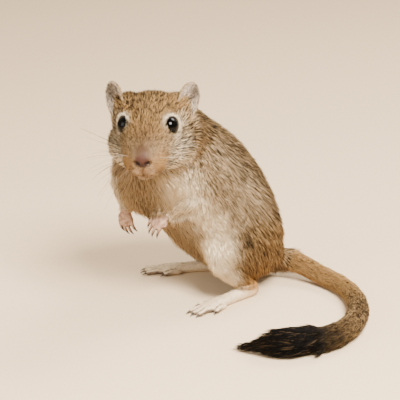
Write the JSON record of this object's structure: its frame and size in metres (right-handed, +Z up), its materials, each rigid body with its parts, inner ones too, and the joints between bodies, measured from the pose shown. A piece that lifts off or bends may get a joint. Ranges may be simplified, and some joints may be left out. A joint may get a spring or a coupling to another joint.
{
  "type": "gerbil",
  "caption": "Life-size Mongolian gerbil sitting up on its hind feet, forepaws held before its chest, head turned to its left and tufted tail curled forward on the floor.",
  "frame": {"origin": "On the floor, below the middle of the bounding box. The hind feet and the tail rest on the floor plane.", "axes": "X runs to the animal's left, -Y is the way its body faces, Z is up. Its head is turned from -Y towards +X."},
  "size_m": [0.092, 0.081, 0.077],
  "materials": {
    "body_coat": "short agouti fur, matt",
    "neck_coat": "short agouti fur, matt",
    "head_coat": "very short fur, matt",
    "ear_skin": "thin haired skin, matt",
    "eye_gloss": "wet black gloss",
    "hand_skin": "finely haired pink skin, satin",
    "foot_skin": "finely haired pink skin, satin",
    "tail_coat": "short fur that ends in a dark brush, matt"
  },
  "bodies": {
    "root": {"torso": "body_coat", "neck": "neck_coat", "head": "head_coat", "ear_left": "ear_skin", "eye_left": "eye_gloss", "upper_arm_left": "body_coat", "forearm_left": "body_coat", "forepaw_left": "hand_skin", "thigh_left": "body_coat", "shank_left": "body_coat", "hindfoot_left": "foot_skin", "ear_right": "ear_skin", "eye_right": "eye_gloss", "upper_arm_right": "body_coat", "forearm_right": "body_coat", "forepaw_right": "hand_skin", "thigh_right": "body_coat", "shank_right": "body_coat", "hindfoot_right": "foot_skin", "tail_base": "tail_coat", "tail_middle": "tail_coat", "tail_bend": "tail_coat", "tail_brush": "tail_coat"}
  },
  "joints": []
}
